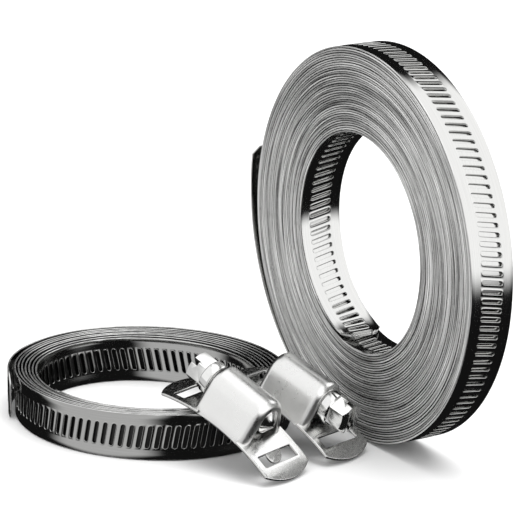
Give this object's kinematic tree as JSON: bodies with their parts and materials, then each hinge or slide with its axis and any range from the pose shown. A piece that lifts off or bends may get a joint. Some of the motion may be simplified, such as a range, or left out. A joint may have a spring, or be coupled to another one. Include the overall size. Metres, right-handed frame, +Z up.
{
  "type": "hose clamp",
  "caption": "Cut-to-length worm-drive hose clamp kit: coils of slotted steel band, one standing and one flat, with screw fasteners that thread onto the band.",
  "frame": {"origin": "on the floor below the middle of the display's bounding box", "axes": "+Z up, +X to the viewer's right, +Y away from the viewer; the standing coil's flat side faces -X and -Y"},
  "size_m": [0.1322, 0.102, 0.1052],
  "materials": {
    "band": "rolled stainless strip, bright",
    "saddle": "pressed stainless sheet, satin",
    "housing": "pressed stainless sheet, polished",
    "screw": "bright plated steel"
  },
  "bodies": {
    "flat_coil": {"small_band_coil": "band"},
    "standing_coil": {"large_band_coil": "band"},
    "left_clip": {"left_fastener_saddle": "saddle", "left_fastener_housing": "housing"},
    "left_worm": {"left_fastener_screw": "screw"},
    "right_clip": {"right_fastener_saddle": "saddle", "right_fastener_housing": "housing"},
    "right_worm": {"right_fastener_screw": "screw"}
  },
  "joints": [
    {"name": "large_coil_lift", "type": "slide", "parent": "flat_coil", "child": "standing_coil", "axis": [0, 0, 1], "range_m": [0, 0.04]},
    {"name": "left_fastener_lift", "type": "slide", "parent": "flat_coil", "child": "left_clip", "axis": [0, 0, 1], "range_m": [0, 0.04]},
    {"name": "right_fastener_lift", "type": "slide", "parent": "flat_coil", "child": "right_clip", "axis": [0, 0, 1], "range_m": [0, 0.04]},
    {"name": "left_screw_turn", "type": "hinge", "parent": "left_clip", "child": "left_worm", "pos_m": [-0.00139, -0.02872, 0.01741], "axis": [-0.7079, 0.5886, 0.3904], "continuous": true},
    {"name": "right_screw_turn", "type": "hinge", "parent": "right_clip", "child": "right_worm", "pos_m": [0.01403, -0.01283, 0.01637], "axis": [0.7121, -0.6182, -0.3327], "continuous": true}
  ]
}
